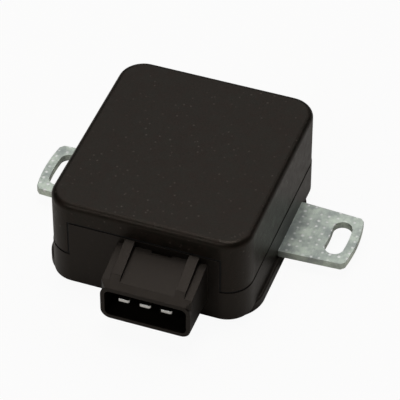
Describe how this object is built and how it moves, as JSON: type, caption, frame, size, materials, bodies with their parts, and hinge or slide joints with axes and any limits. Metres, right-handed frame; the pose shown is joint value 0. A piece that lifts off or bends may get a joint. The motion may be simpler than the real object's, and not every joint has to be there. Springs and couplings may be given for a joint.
{
  "type": "throttle position sensor",
  "caption": "Rotary sensor in a black plastic case with a slotted steel mounting bar, a blade connector and a turning rotor with a D socket for a throttle shaft.",
  "frame": {"origin": "centre of the pilot bore at the mounting face, on the axis of the throttle shaft", "axes": "+Z out of the mounting face through the cover, +X along the mounting bar, -Y towards the connector"},
  "size_m": [0.0776, 0.0642, 0.0258],
  "materials": {
    "body_plastic": "satin",
    "cover_plastic": "satin",
    "plated_steel": "satin",
    "screw_steel": "satin",
    "seal_rubber": "matte",
    "bush_bronze": "satin",
    "rotor_plastic": "satin",
    "contact_brass": "polished",
    "board_ceramic": "matte",
    "track_ink": "matte",
    "silver_print": "matte",
    "tin_brass": "polished",
    "solder": "satin"
  },
  "bodies": {
    "body": {"base_plate": "body_plastic", "mounting_bar": "plated_steel", "housing": "body_plastic", "cover": "cover_plastic", "cover_seal": "seal_rubber", "base_screws": "screw_steel", "bar_rivets": "screw_steel", "flange_oring": "seal_rubber", "rotor_bush": "bush_bronze", "thrust_washer": "screw_steel", "shaft_seal": "seal_rubber", "track_board": "board_ceramic", "resistive_track": "track_ink", "collector_track": "silver_print", "conductor_prints": "silver_print", "board_screws": "screw_steel", "terminal_left": "tin_brass", "terminal_middle": "tin_brass", "terminal_right": "tin_brass", "solder_joints": "solder"},
    "rotor": {"rotor": "rotor_plastic", "circlip": "screw_steel", "wiper": "contact_brass", "wiper_rivets": "contact_brass"}
  },
  "joints": [
    {"name": "rotor_turn", "type": "hinge", "parent": "body", "child": "rotor", "pos_m": [0, 0, 0], "axis": [0, 0, 1], "range_deg": [0, 90]}
  ]
}
